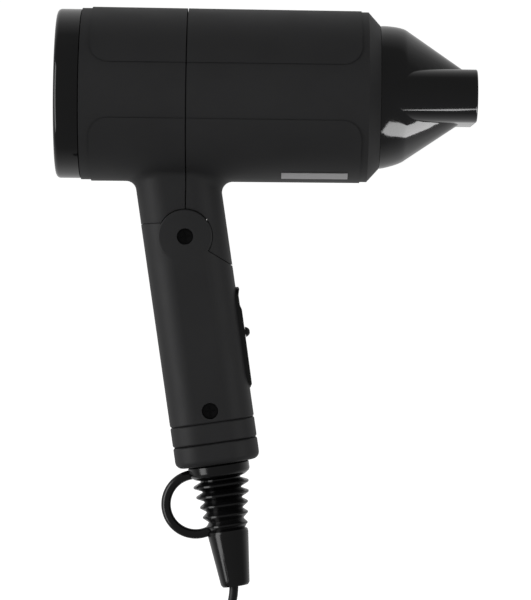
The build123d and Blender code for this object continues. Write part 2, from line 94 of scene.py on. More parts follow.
def to_linear(code):
    """An sRGB hex colour such as "1c1c1d" as linear RGBA."""
    parts = [int(code[i:i + 2], 16) / 255 for i in (0, 2, 4)]
    linear = [c / 12.92 if c <= 0.04045 else ((c + 0.055) / 1.055) ** 2.4 for c in parts]
    return (*linear, 1.0)


def colour_setting(name, description, code):
    """A colour that the user can change."""
    return bpy.props.FloatVectorProperty(name=name, description=description, subtype="COLOR", size=4,
                                         min=0.0, max=1.0, default=to_linear(code))


def length_setting(name, description, millimetres):
    """A length that the user can change."""
    return bpy.props.FloatProperty(name=name, description=description, unit="LENGTH", precision=5,
                                   min=0.0, default=millimetres * MM)


def add(tree, kind, settings=None, inputs=None):
    """Adds a node, sets its properties, and fills or links its inputs."""
    made = tree.nodes.new(kind)
    for name, value in (settings or {}).items():
        setattr(made, name, value)
    for name, value in (inputs or {}).items():
        socket = made.inputs[name]
        if isinstance(value, bpy.types.NodeSocket):
            tree.links.new(value, socket)
        else:
            socket.default_value = value
    return made


def maths(tree, operation, *values):
    """The result of an arithmetic node on these values or sockets."""
    return add(tree, "ShaderNodeMath", {"operation": operation}, dict(enumerate(values))).outputs[0]


def detail_scale(size_mm):
    """The texture scale that gives features of about this size."""
    return 1.0 / (size_mm * MM)


def link_object(name, mesh, material):
    """Puts a mesh into the scene as an object with one material."""
    mesh.materials.clear()
    mesh.materials.append(material)
    made = bpy.data.objects.new(name, mesh)
    bpy.context.scene.collection.objects.link(made)
    return made


def from_faces(name, points, faces, place, material, sharp=35.0):
    """A smooth-shaded piece from points in millimetres in its own frame."""
    mesh = bpy.data.meshes.new(name)
    mesh.from_pydata([place @ (Vector(p) * MM) for p in points], [], faces)
    face_outwards(mesh)
    shade(mesh, sharp)
    return link_object(name, mesh, material)


def face_outwards(mesh):
    """Merges doubles and turns the faces of a closed mesh outwards."""
    work = bmesh.new()
    work.from_mesh(mesh)
    bmesh.ops.remove_doubles(work, verts=work.verts, dist=1e-7)
    bmesh.ops.recalc_face_normals(work, faces=work.faces)
    work.to_mesh(mesh)
    work.free()


def shade(mesh, sharp):
    """Smooth shading, with edges over this angle kept sharp."""
    mesh.shade_smooth()
    mesh.set_sharp_from_angle(angle=math.radians(sharp))


def settle(piece):
    """Turns the piece and its modifiers into a plain mesh."""
    bpy.context.view_layer.update()
    graph = bpy.context.evaluated_depsgraph_get()
    mesh = bpy.data.meshes.new_from_object(piece.evaluated_get(graph), depsgraph=graph)
    piece.modifiers.clear()
    old = piece.data
    piece.data = mesh
    if old.users == 0:
        bpy.data.meshes.remove(old)
    return piece


def ride(piece, body, replaces=()):
    """Fixes a piece to its body and the nodes that it stands for."""
    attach(piece, body)
    if replaces:
        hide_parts(*replaces)
    return piece


def round_edges(piece, width, angle=35.0, segments=2):
    """A small moulded radius along the sharp edges."""
    bevel = piece.modifiers.new("edge radius", "BEVEL")
    bevel.width = width * MM
    bevel.segments = segments
    bevel.limit_method = "ANGLE"
    bevel.angle_limit = math.radians(angle)
    bevel.harden_normals = False
    settle(piece)
    shade(piece.data, angle)


def finished_copy(node, material, edge=0.0, sharp=30.0, name=None):
    """A welded, smooth-shaded copy of a node that stands for it; edge is its moulded radius."""
    mesh = frame["nodes"][node].data.copy()
    work = bmesh.new()
    work.from_mesh(mesh)
    bmesh.ops.remove_doubles(work, verts=work.verts, dist=2e-6)
    bmesh.ops.dissolve_degenerate(work, dist=1e-6, edges=work.edges)
    bmesh.ops.dissolve_limit(work, angle_limit=math.radians(0.3), verts=work.verts, edges=work.edges)
    work.to_mesh(mesh)
    work.free()
    if mesh.has_custom_normals:
        mesh.attributes.remove(mesh.attributes["custom_normal"])
    shade(mesh, sharp)
    piece = link_object(name or node + "_finished", mesh, material)
    if edge:
        round_edges(piece, edge)
    return ride(piece, NODE_BODY[node], [node])


def lathe(profile, steps=96, closed=False):
    """Points and faces of a profile of (x, radius) turned about X; zero radii close as poles."""
    points = []
    rows = []
    for x, radius in profile:
        if radius == 0:
            rows.append([len(points)] * steps)
            points.append((x, 0.0, 0.0))
            continue
        rows.append(list(range(len(points), len(points) + steps)))
        for step in range(steps):
            angle = 2 * math.pi * step / steps
            points.append((x, radius * math.cos(angle), radius * math.sin(angle)))
    pairs = list(zip(rows, rows[1:]))
    if closed:
        pairs.append((rows[-1], rows[0]))
    faces = []
    for first, second in pairs:
        for step in range(steps):
            after = (step + 1) % steps
            corner = (first[step], first[after], second[after], second[step])
            faces.append(tuple(dict.fromkeys(corner)))
    return points, faces


def arc(centre, radius, start, end, steps):
    """Points of an arc in the plane, angles in degrees."""
    made = []
    for step in range(steps + 1):
        angle = math.radians(start + (end - start) * step / steps)
        made.append((centre[0] + radius * math.cos(angle), centre[1] + radius * math.sin(angle)))
    return made


def rounded_outline(width, depth, corner, per_corner=8):
    """A rectangle with round corners, as (x, y) points."""
    half_w = width / 2 - corner
    half_d = depth / 2 - corner
    made = []
    for quarter, (side_x, side_y) in enumerate(((1, 1), (-1, 1), (-1, -1), (1, -1))):
        start = 90 * quarter
        made += arc((side_x * half_w, side_y * half_d), corner, start, start + 90, per_corner)
    return made


def loft(outlines):
    """Points and faces through outlines of equal count, with both ends closed."""
    points = [p for outline in outlines for p in outline]
    count = len(outlines[0])
    faces = []
    for row in range(len(outlines) - 1):
        for step in range(count):
            after = (step + 1) % count
            faces.append((row * count + step, row * count + after,
                          (row + 1) * count + after, (row + 1) * count + step))
    faces.append(tuple(range(count)))
    faces.append(tuple(range(len(points) - count, len(points))))
    return points, faces


def spline_points(route, resolution):
    """Points read along the NURBS spline through a route of millimetre points."""
    curve = bpy.data.curves.new("route", "CURVE")
    curve.dimensions = "3D"
    curve.resolution_u = resolution
    line = curve.splines.new("NURBS")
    line.points.add(len(route) - 1)
    for point, place in zip(line.points, route):
        point.co = (*(Vector(place) * MM), 1.0)
    line.order_u = 3
    line.use_endpoint_u = True
    holder = bpy.data.objects.new("route", curve)
    bpy.context.scene.collection.objects.link(holder)
    bpy.context.view_layer.update()
    graph = bpy.context.evaluated_depsgraph_get()
    mesh = bpy.data.meshes.new_from_object(holder.evaluated_get(graph), depsgraph=graph)
    points = [v.co.copy() for v in mesh.vertices]
    bpy.data.objects.remove(holder)
    bpy.data.meshes.remove(mesh)
    return points


def tube_along(name, points, outline, across, material):
    """A closed tube of this section along points in metres; the section's x lies along across."""
    rows = []
    count = len(outline)
    for step, point in enumerate(points):
        before = points[max(step - 1, 0)]
        after = points[min(step + 1, len(points) - 1)]
        tangent = (after - before).normalized()
        side = (across - tangent * across.dot(tangent)).normalized()
        other = tangent.cross(side)
        rows += [point + (side * x + other * y) * MM for x, y in outline]
    faces = []
    for row in range(len(points) - 1):
        for step in range(count):
            after = (step + 1) % count
            faces.append((row * count + step, row * count + after,
                          (row + 1) * count + after, (row + 1) * count + step))
    faces.append(tuple(range(count)))
    faces.append(tuple(range(len(rows) - count, len(rows))))
    mesh = bpy.data.meshes.new(name)
    mesh.from_pydata(rows, [], faces)
    face_outwards(mesh)
    shade(mesh, 50.0)
    return link_object(name, mesh, material)


# ---- materials ----

def surface(name, colour, roughness, grain, relief, mottle=0.12, gloss_change=0.06, stretch=(1, 1, 1),
            sockets=None):
    """A surface with fine grain of a real size, and slow changes of tone and gloss."""
    material = bpy.data.materials.new(name)
    material.use_nodes = True
    tree = material.node_tree
    tree.nodes.clear()
    place = add(tree, "ShaderNodeTexCoord").outputs["Object"]
    run = add(tree, "ShaderNodeMapping", inputs={"Vector": place, "Scale": stretch}).outputs[0]
    fine = add(tree, "ShaderNodeTexNoise", inputs={
        "Vector": run, "Scale": detail_scale(grain), "Detail": 3.0, "Roughness": 0.62})
    broad = add(tree, "ShaderNodeTexNoise", inputs={
        "Vector": place, "Scale": detail_scale(22.0), "Detail": 3.0, "Roughness": 0.55})
    both = maths(tree, "MULTIPLY_ADD", fine.outputs[0], 0.45, broad.outputs[0])
    dark = tuple(c * (1 - mottle) for c in colour[:3]) + (1.0,)
    light = tuple(min(1.0, c * (1 + mottle)) for c in colour[:3]) + (1.0,)
    level = add(tree, "ShaderNodeMapRange", inputs={
        "Value": both, "From Min": 0.45, "From Max": 1.0})
    tone = add(tree, "ShaderNodeMix", {"data_type": "RGBA"}, {0: level.outputs[0], 6: dark, 7: light})
    dull = add(tree, "ShaderNodeMapRange", inputs={
        "Value": broad.outputs[0], "From Min": 0.3, "From Max": 0.7,
        "To Min": max(0.02, roughness - gloss_change), "To Max": roughness + gloss_change})
    bump = add(tree, "ShaderNodeBump", inputs={
        "Height": fine.outputs[0], "Distance": relief * MM, "Strength": 1.0})
    shader = add(tree, "ShaderNodeBsdfPrincipled", inputs={
        "Base Color": tone.outputs[2], "Roughness": dull.outputs[0], "Normal": bump.outputs[0],
        **(sockets or {})})
    add(tree, "ShaderNodeOutputMaterial", inputs={"Surface": shader.outputs[0]})
    material["shader"] = shader.name
    return material


def soft_touch_lacquer():
    """Rubbery matt lacquer over ABS shells: a dry, fine grain that goes pale only at grazing angles."""
    chosen = bpy.context.scene.dryer_colours
    return surface("soft_touch_lacquer", chosen.shell, 0.58, 0.5, 0.006, 0.10, 0.04,
                   sockets={"IOR": 1.46})


def polished_abs():
    """Black ABS from a polished mould: deep gloss with a faint orange peel."""
    chosen = bpy.context.scene.dryer_colours
    return surface("polished_black_abs", chosen.gloss, 0.10, 3.0, 0.004, 0.10, 0.03,
                   sockets={"IOR": 1.54})


def satin_switch_abs():
    """Fine-sparked black ABS of the switch plate, a little smoother than the grip."""
    chosen = bpy.context.scene.dryer_colours
    return surface("satin_switch_abs", chosen.gloss, 0.34, 0.45, 0.004, 0.12, 0.05)


def flexible_pvc():
    """Glossy black flexible PVC, moulded over the cord."""
    chosen = bpy.context.scene.dryer_colours
    return surface("flexible_pvc", chosen.flex, 0.20, 1.6, 0.006, 0.14, 0.05, sockets={"IOR": 1.52})


def cord_sheath_pvc():
    """Extruded black PVC sheath: satin, with a fine even grain."""
    chosen = bpy.context.scene.dryer_colours
    return surface("cord_sheath_pvc", chosen.cord, 0.36, 0.8, 0.005, 0.12, 0.06)


def foil_label():
    """Blank pale label film, a little uneven in tone."""
    chosen = bpy.context.scene.dryer_colours
    return surface("blank_label_film", chosen.label, 0.42, 0.6, 0.002, 0.05, 0.05)


def nylon_gauze():
    """Woven black nylon thread of the dust gauze."""
    return surface("nylon_gauze_thread", to_linear("202021"), 0.45, 0.3, 0.01, 0.15)


def heat_resistant_duct():
    """Ivory heat-resistant moulding of the air duct."""
    return surface("ivory_duct_pbt", to_linear("cfc9b8"), 0.48, 0.6, 0.008, 0.06)


def plated_motor_can():
    """Drawn and plated steel motor can, with fine turning lines."""
    return surface("plated_motor_can", to_linear("b9b9b6"), 0.30, 0.5, 0.003, 0.08, 0.06, (12, 1, 1),
                   sockets={"Metallic": 1.0})


def ground_shaft():
    """Ground steel shaft."""
    return surface("ground_shaft_steel", to_linear("c4c4c2"), 0.20, 0.3, 0.002, 0.05, 0.04, (10, 1, 1),
                   sockets={"Metallic": 1.0})


def glass_filled_fan():
    """Grey glass-filled moulding of the fan, speckled with fibre."""
    return surface("glass_filled_fan", to_linear("5b5e62"), 0.46, 0.5, 0.010, 0.22, 0.08)


def pressed_mica():
    """Pressed mica board: brown flakes with a pearly coat."""
    return surface("pressed_mica", to_linear("b39b76"), 0.36, 1.4, 0.02, 0.30, 0.14,
                   sockets={"Coat Weight": 0.3, "Coat Roughness": 0.3})


def oxidised_heater_wire():
    """Resistance wire, darkened by heat."""
    return surface("oxidised_heater_wire", to_linear("8a7f76"), 0.42, 0.5, 0.006, 0.25, 0.10,
                   sockets={"Metallic": 1.0})


def bimetal_steel():
    """Bimetal strip and steel rivets of the thermostat."""
    return surface("thermostat_bimetal", to_linear("b5a888"), 0.33, 0.6, 0.004, 0.12, 0.08, (1, 8, 1),
                   sockets={"Metallic": 1.0})


def plated_fuse_case():
    """Plated case of the thermal fuse."""
    return surface("plated_fuse_case", to_linear("c2bfb6"), 0.26, 0.6, 0.003, 0.08, 0.06,
                   sockets={"Metallic": 1.0})


def dark_phenolic():
    """Dark heat-resistant moulding of the outlet guard."""
    return surface("dark_phenolic", to_linear("1b1a19"), 0.50, 0.6, 0.010, 0.18)


def black_acetal():
    """Black acetal of the hinge block: smooth and waxy."""
    return surface("black_acetal", to_linear("1e1e1f"), 0.32, 1.2, 0.004, 0.08)


def solder_mask():
    """Green solder mask over the board's weave."""
    return surface("green_solder_mask", to_linear("1d6b3d"), 0.28, 0.8, 0.012, 0.20, 0.08)


def switch_nylon():
    """Black nylon case of the switches."""
    return surface("switch_nylon", to_linear("242424"), 0.44, 0.5, 0.006, 0.12)


def dipped_capacitor():
    """Blue epoxy case of the capacitor."""
    return surface("dipped_blue_epoxy", to_linear("2a4fa0"), 0.25, 2.5, 0.02, 0.10)


def lead_sleeving():
    """Brown sleeve of the inner leads."""
    return surface("lead_sleeving", to_linear("8a5a32"), 0.40, 0.8, 0.006, 0.10)


def black_oxide_steel():
    """Black-oxide screw steel, dark in its deep recess."""
    return surface("black_oxide_screw", to_linear("1a1a1b"), 0.42, 0.4, 0.006, 0.20,
                   sockets={"Metallic": 0.6})


def zinc_plate():
    """Bright zinc on steel, slightly cloudy."""
    return surface("zinc_plated_steel", to_linear("bdbdb9"), 0.32, 0.8, 0.004, 0.10, 0.08,
                   sockets={"Metallic": 1.0})


def spring_wire():
    """Drawn spring wire."""
    return surface("drawn_spring_wire", to_linear("b0b0ae"), 0.30, 0.4, 0.004, 0.08,
                   sockets={"Metallic": 1.0})


def tie_coating():
    """Black plastic coating of the tie, with a fine rib."""
    return surface("ribbed_tie_coating", to_linear("1c1c1d"), 0.46, 0.7, 0.05, 0.15, 0.06, (1, 1, 0.05))


def plug_pvc():
    """Satin black moulded PVC of the plug."""
    chosen = bpy.context.scene.dryer_colours
    return surface("plug_pvc", chosen.flex, 0.36, 0.7, 0.008, 0.12, 0.05)


def nickel_plate():
    """Bright nickel on the plug's brass pins."""
    return surface("nickel_plated_pin", to_linear("cfcac0"), 0.16, 1.0, 0.002, 0.06, 0.05,
                   sockets={"Metallic": 1.0})


FINISHES = {
    "soft_black": soft_touch_lacquer, "gloss_black": polished_abs, "flex_black": flexible_pvc,
    "cord_black": cord_sheath_pvc, "label_white": foil_label, "gauze": nylon_gauze,
    "duct_white": heat_resistant_duct, "motor_steel": plated_motor_can, "shaft_steel": ground_shaft,
    "fan_grey": glass_filled_fan, "mica": pressed_mica, "heater_wire": oxidised_heater_wire,
    "thermostat_steel": bimetal_steel, "fuse_body": plated_fuse_case, "grille_black": dark_phenolic,
    "pivot_black": black_acetal, "board_green": solder_mask, "switch_black": switch_nylon,
    "capacitor_blue": dipped_capacitor, "lead_sleeve": lead_sleeving, "screw_black": black_oxide_steel,
    "zinc_steel": zinc_plate, "spring_steel": spring_wire, "tie_black": tie_coating,
    "plug_black": plug_pvc, "pin_nickel": nickel_plate, "satin_black": satin_switch_abs,
}
made_finishes = {}


def finish_for(slot):
    """The material of a slot, made once."""
    if slot not in made_finishes:
        made_finishes[slot] = FINISHES[slot]()
    return made_finishes[slot]


# ---- Geometry Nodes ----

def new_tree(name, sizes):
    """An empty geometry tree with named inputs for its sizes; returns the tree and its group input."""
    tree = bpy.data.node_groups.new(name, "GeometryNodeTree")
    for label, (kind, default) in sizes.items():
        socket = tree.interface.new_socket(label, in_out="INPUT", socket_type=kind)
        socket.default_value = default
    tree.interface.new_socket("Geometry", in_out="OUTPUT", socket_type="NodeSocketGeometry")
    return tree, add(tree, "NodeGroupInput")


def end_tree(tree, geometry, material):
    """Realises instances, shades smooth, sets the material and ends the tree."""
    real = add(tree, "GeometryNodeRealizeInstances", inputs={"Geometry": geometry})
    smooth = add(tree, "GeometryNodeSetShadeSmooth", inputs={"Geometry": real.outputs[0]})
    painted = add(tree, "GeometryNodeSetMaterial", inputs={
        "Geometry": smooth.outputs[0], "Material": material})
    add(tree, "NodeGroupOutput", inputs={"Geometry": painted.outputs[0]})


def grow(name, tree, values, place, material):
    """Runs a tree on an empty mesh with its inputs set, and keeps the result as a plain mesh."""
    holder = bpy.data.objects.new(name, bpy.data.meshes.new(name))
    bpy.context.scene.collection.objects.link(holder)
    nodes = holder.modifiers.new("build", "NODES")
    nodes.node_group = tree
    known = {item.name: item.identifier for item in tree.interface.items_tree
             if item.item_type == "SOCKET" and item.in_out == "INPUT"}
    for label, value in values.items():
        nodes[known[label]] = value
    settle(holder)
    holder.data.transform(place)
    holder.data.materials.clear()
    holder.data.materials.append(material)
    if not holder.data.polygons:
        raise RuntimeError(name + " came out empty")
    return holder


def ring_rows_tree(material):
    """Rings about X, from a first radius at an even pitch, with a round or flat bar section."""
    tree, given = new_tree("ring_rows", {
        "Count": ("NodeSocketInt", 6), "First Radius": ("NodeSocketFloat", 0.007),
        "Radius Step": ("NodeSocketFloat", 0.004), "Along Step": ("NodeSocketFloat", 0.0),
        "Bar Width": ("NodeSocketFloat", 0.0015), "Bar Depth": ("NodeSocketFloat", 0.0016),
        "Ring Points": ("NodeSocketInt", 96)})
    index = add(tree, "GeometryNodeInputIndex").outputs[0]
    line = add(tree, "GeometryNodeMeshLine", inputs={"Count": given.outputs["Count"]})
    along = maths(tree, "MULTIPLY", index, given.outputs["Along Step"])
    spot = add(tree, "ShaderNodeCombineXYZ", inputs={"X": along})
    placed = add(tree, "GeometryNodeSetPosition", inputs={
        "Geometry": line.outputs[0], "Position": spot.outputs[0]})
    radius = maths(tree, "MULTIPLY_ADD",
                   index, given.outputs["Radius Step"], given.outputs["First Radius"])
    circle = add(tree, "GeometryNodeCurvePrimitiveCircle", inputs={
        "Resolution": given.outputs["Ring Points"], "Radius": 1.0})
    rings = add(tree, "GeometryNodeInstanceOnPoints", inputs={
        "Points": placed.outputs[0], "Instance": circle.outputs[0],
        "Rotation": (0.0, math.radians(90), 0.0), "Scale": radius})
    real = add(tree, "GeometryNodeRealizeInstances", inputs={"Geometry": rings.outputs[0]})
    even = add(tree, "GeometryNodeSetCurveRadius", inputs={"Curve": real.outputs[0], "Radius": 1.0})
    section = add(tree, "GeometryNodeCurvePrimitiveQuadrilateral", inputs={
        "Width": given.outputs["Bar Width"], "Height": given.outputs["Bar Depth"]})
    soft = add(tree, "GeometryNodeFilletCurve", None, {"Curve": section.outputs[0], "Radius": 0.0003})
    bars = add(tree, "GeometryNodeCurveToMesh", inputs={
        "Curve": even.outputs[0], "Profile Curve": soft.outputs[0]})
    end_tree(tree, bars.outputs[0], material)
    return tree


def spokes_tree(material):
    """Bars round X, from an inner to an outer radius."""
    tree, given = new_tree("spokes", {
        "Count": ("NodeSocketInt", 8), "Inner Radius": ("NodeSocketFloat", 0.0035),
        "Outer Radius": ("NodeSocketFloat", 0.0315), "Width": ("NodeSocketFloat", 0.0018),
        "Depth": ("NodeSocketFloat", 0.002)})
    index = add(tree, "GeometryNodeInputIndex").outputs[0]
    points = add(tree, "GeometryNodeMeshLine", inputs={
        "Count": given.outputs["Count"], "Offset": (0.0, 0.0, 0.0)})
    turn = maths(tree, "DIVIDE", 2 * math.pi, given.outputs["Count"])
    angle = maths(tree, "MULTIPLY", index, turn)
    spin = add(tree, "ShaderNodeCombineXYZ", inputs={"X": angle})
    inner = add(tree, "ShaderNodeCombineXYZ", inputs={"Z": given.outputs["Inner Radius"]})
    outer = add(tree, "ShaderNodeCombineXYZ", inputs={"Z": given.outputs["Outer Radius"]})
    line = add(tree, "GeometryNodeCurvePrimitiveLine", inputs={
        "Start": inner.outputs[0], "End": outer.outputs[0]})
    section = add(tree, "GeometryNodeCurvePrimitiveQuadrilateral", inputs={
        "Width": given.outputs["Width"], "Height": given.outputs["Depth"]})
    soft = add(tree, "GeometryNodeFilletCurve", None, {"Curve": section.outputs[0], "Radius": 0.0003})
    bar = add(tree, "GeometryNodeCurveToMesh", inputs={
        "Curve": line.outputs[0], "Profile Curve": soft.outputs[0], "Fill Caps": True})
    placed = add(tree, "GeometryNodeInstanceOnPoints", inputs={
        "Points": points.outputs[0], "Instance": bar.outputs[0], "Rotation": spin.outputs[0]})
    end_tree(tree, placed.outputs[0], material)
    return tree


def gauze_tree(material):
    """Warp and weft threads across a disc, each as long as the disc is there."""
    tree, given = new_tree("gauze", {
        "Threads": ("NodeSocketInt", 45), "Disc Radius": ("NodeSocketFloat", 0.0318),
        "Thread": ("NodeSocketFloat", 0.00016), "Rise": ("NodeSocketFloat", 0.00012)})
    index = add(tree, "GeometryNodeInputIndex").outputs[0]
    line = add(tree, "GeometryNodeMeshLine", inputs={"Count": given.outputs["Threads"]})
    pitch = maths(tree, "DIVIDE", given.outputs["Disc Radius"], given.outputs["Threads"])
    double = maths(tree, "MULTIPLY", pitch, 2.0)
    half = maths(tree, "MULTIPLY_ADD", given.outputs["Disc Radius"], -1.0, pitch)
    across = maths(tree, "MULTIPLY_ADD", index, double, half)
    share = maths(tree, "DIVIDE", across, given.outputs["Disc Radius"])
    square = maths(tree, "MULTIPLY", share, share)
    rest = maths(tree, "SUBTRACT", 1.0, square)
    chord = maths(tree, "SQRT", rest)
    reach = maths(tree, "MULTIPLY", chord, given.outputs["Disc Radius"])
    stretch = add(tree, "ShaderNodeCombineXYZ", inputs={"X": 1.0, "Y": 1.0, "Z": reach})
    spot = add(tree, "ShaderNodeCombineXYZ", inputs={"Y": across})
    placed = add(tree, "GeometryNodeSetPosition", inputs={
        "Geometry": line.outputs[0], "Position": spot.outputs[0]})
    straight = add(tree, "GeometryNodeCurvePrimitiveLine", inputs={
        "Start": (0.0, 0.0, -1.0), "End": (0.0, 0.0, 1.0)})
    threads = add(tree, "GeometryNodeInstanceOnPoints", inputs={
        "Points": placed.outputs[0], "Instance": straight.outputs[0], "Scale": stretch.outputs[0]})
    real = add(tree, "GeometryNodeRealizeInstances", inputs={"Geometry": threads.outputs[0]})
    warp = add(tree, "GeometryNodeTransform", inputs={
        "Geometry": real.outputs[0], "Rotation": (math.radians(90), 0.0, 0.0)})
    lift = add(tree, "ShaderNodeCombineXYZ", inputs={"X": given.outputs["Rise"]})
    raised = add(tree, "GeometryNodeTransform", inputs={
        "Geometry": warp.outputs[0], "Translation": lift.outputs[0]})
    joined = add(tree, "GeometryNodeJoinGeometry")
    tree.links.new(real.outputs[0], joined.inputs[0])
    tree.links.new(raised.outputs[0], joined.inputs[0])
    even = add(tree, "GeometryNodeSetCurveRadius", inputs={"Curve": joined.outputs[0], "Radius": 1.0})
    section = add(tree, "GeometryNodeCurvePrimitiveCircle", inputs={
        "Resolution": 6, "Radius": given.outputs["Thread"]})
    mesh = add(tree, "GeometryNodeCurveToMesh", inputs={
        "Curve": even.outputs[0], "Profile Curve": section.outputs[0], "Fill Caps": True})
    end_tree(tree, mesh.outputs[0], material)
    return tree


def wound_ring_tree(material):
    """Rings of coiled wire about X: each point of a ring is carried round the ring's own line."""
    tree, given = new_tree("wound_rings", {
        "Rings": ("NodeSocketInt", 5), "Pitch": ("NodeSocketFloat", 0.010),
        "Ring Radius": ("NodeSocketFloat", 0.024), "Coil Radius": ("NodeSocketFloat", 0.0012),
        "Turns": ("NodeSocketInt", 90), "Points per Turn": ("NodeSocketInt", 9),
        "Wire": ("NodeSocketFloat", 0.0003)})
    index = add(tree, "GeometryNodeInputIndex").outputs[0]
    count = maths(tree, "MULTIPLY", given.outputs["Turns"], given.outputs["Points per Turn"])
    circle = add(tree, "GeometryNodeCurvePrimitiveCircle", inputs={
        "Resolution": count, "Radius": given.outputs["Ring Radius"]})
    step = maths(tree, "DIVIDE", 2 * math.pi, given.outputs["Points per Turn"])
    angle = maths(tree, "MULTIPLY", index, step)
    sine = maths(tree, "SINE", angle)
    cosine = maths(tree, "COSINE", angle)
    outward = add(tree, "ShaderNodeVectorMath", {"operation": "NORMALIZE"}, {
        0: add(tree, "GeometryNodeInputPosition").outputs[0]})
    swing = add(tree, "ShaderNodeVectorMath", {"operation": "SCALE"}, {
        0: outward.outputs[0], "Scale": cosine})
    rise = add(tree, "ShaderNodeCombineXYZ", inputs={"Z": sine})
    total = add(tree, "ShaderNodeVectorMath", {"operation": "ADD"}, {
        0: swing.outputs[0], 1: rise.outputs[0]})
    offset = add(tree, "ShaderNodeVectorMath", {"operation": "SCALE"}, {
        0: total.outputs[0], "Scale": given.outputs["Coil Radius"]})
    coil = add(tree, "GeometryNodeSetPosition", inputs={
        "Geometry": circle.outputs[0], "Offset": offset.outputs[0]})
    section = add(tree, "GeometryNodeCurvePrimitiveCircle", inputs={
        "Resolution": 5, "Radius": given.outputs["Wire"]})
    wire = add(tree, "GeometryNodeCurveToMesh", inputs={
        "Curve": coil.outputs[0], "Profile Curve": section.outputs[0]})
    shift = add(tree, "ShaderNodeCombineXYZ", inputs={"X": given.outputs["Pitch"]})
    spots = add(tree, "GeometryNodeMeshLine", inputs={
        "Count": given.outputs["Rings"], "Offset": shift.outputs[0]})
    rings = add(tree, "GeometryNodeInstanceOnPoints", inputs={
        "Points": spots.outputs[0], "Instance": wire.outputs[0],
        "Rotation": (0.0, math.radians(90), 0.0)})
    end_tree(tree, rings.outputs[0], material)
    return tree


# ---- settings ----

class DryerColours(bpy.types.PropertyGroup):
    """Colours of the outer mouldings."""
    shell: colour_setting("Shells", "Soft-touch lacquer of the barrel and grip", "2a2a2b")
    gloss: colour_setting("Gloss parts", "Polished inlet cap, nozzle and switch plate", "121213")
    flex: colour_setting("Flexible parts", "Strain relief, loop and plug", "141415")
    cord: colour_setting("Cord", "Sheath of the flat cord", "1b1b1c")
    label: colour_setting("Label", "Blank label under the barrel", "d6d5d6")


class DryerSizes(bpy.types.PropertyGroup):
    """Sizes of what Blender adds to the frame."""
    gauze_thread: length_setting("Gauze thread", "Half the thickness of a gauze thread", 0.16)
    heater_wire: length_setting("Heater wire", "Half the thickness of the heater wire", 0.3)
    cord_length: length_setting("Cord length", "Strain relief to plug", 1900.0)


class StudioSettings(bpy.types.PropertyGroup):
    """Camera and light."""
    lens: bpy.props.FloatProperty(name="Lens", description="Focal length", unit="CAMERA", default=213.15)
    distance: length_setting("Distance", "Camera to the dryer's middle plane", 1540.0)
    roll: bpy.props.FloatProperty(name="Roll", description="Turn about the view direction",
                                  subtype="ANGLE", default=math.radians(-0.75))
    strip_power: bpy.props.FloatProperty(name="Left strip", description="Watts", unit="POWER", default=5.4)
    fill_power: bpy.props.FloatProperty(name="Right fill", description="Watts, for the matt shells alone",
                                        unit="POWER", default=2.2)
    low_power: bpy.props.FloatProperty(name="Low box", description="Watts, for the nozzle alone",
                                       unit="POWER", default=2.6)
    back_glow: bpy.props.FloatProperty(name="Backdrop", description="Light from behind", default=0.75)
    front_glow: bpy.props.FloatProperty(name="Front", description="Light from the viewer's side",
                                        default=0.24)


# ---- stage ----

def soft_box(name, centre, towards, size, watts):
    """A rectangular soft light that lights but isn't seen directly."""
    data = bpy.data.lights.new(name, "AREA")
    data.shape = "RECTANGLE"
    data.size = size[0]
    data.size_y = size[1]
    data.energy = watts
    made = bpy.data.objects.new(name, data)
    bpy.context.scene.collection.objects.link(made)
    made.location = centre
    made.rotation_euler = (Vector(towards) - Vector(centre)).to_track_quat("-Z", "Y").to_euler()
    made.visible_camera = False
    return made


def keep_for_some(light):
    """Keeps a light for the pieces that lit_by names."""
    light.light_linking.receiver_collection = bpy.data.collections.new("lit_by_" + light.name)


def lit_by(piece, light):
    """Lets a light that is kept for some pieces reach this one."""
    bpy.data.collections["lit_by_" + light].objects.link(piece)


def paper_cove():
    """A round pale floor whose rim curves up into a wall all the way round.

    It is seen but throws no light back, so the dryer is lit by the world and the soft boxes alone.
    """
    floor_z = -0.32
    radius = 4.5
    bend = 1.8
    wall_top = 9.0
    line = [(floor_z, 0), (floor_z, 1.0), (floor_z, radius)]
    line += [(z, r) for r, z in arc((radius, floor_z + bend), bend, -90, 0, 16)][1:]
    line.append((wall_top, radius + bend))
    points, faces = lathe(line, 96)
    upright = Matrix(((0, 1, 0), (0, 0, 1), (1, 0, 0))).to_4x4()
    mesh = bpy.data.meshes.new("paper_cove")
    mesh.from_pydata([upright @ Vector(p) for p in points], [], faces)
    mesh.shade_smooth()
    paper = surface("white_background_paper", to_linear("f4f4f3"), 0.9, 8.0, 0.02, 0.01, 0.02)
    shader = paper.node_tree.nodes[paper["shader"]]
    shader.inputs["Emission Color"].default_value = (1.0, 1.0, 1.0, 1.0)
    shader.inputs["Emission Strength"].default_value = 0.86
    made = link_object("paper_cove", mesh, paper)
    made.visible_diffuse = False
    made.visible_glossy = False


def studio_world():
    """Soft light from all round, which grows from the viewer's side to the far side."""
    chosen = bpy.context.scene.dryer_studio
    world = bpy.data.worlds.new("studio")
    world.use_nodes = True
    tree = world.node_tree
    tree.nodes.clear()
    ray = add(tree, "ShaderNodeTexCoord").outputs["Generated"]
    parts = add(tree, "ShaderNodeSeparateXYZ", inputs={"Vector": ray})
    level = add(tree, "ShaderNodeMapRange", inputs={
        "Value": parts.outputs["Y"], "From Min": -0.1, "From Max": 0.6,
        "To Min": chosen.front_glow, "To Max": chosen.back_glow})
    glow = add(tree, "ShaderNodeBackground", inputs={"Strength": level.outputs[0]})
    add(tree, "ShaderNodeOutputWorld", inputs={"Surface": glow.outputs[0]})
    bpy.context.scene.world = world


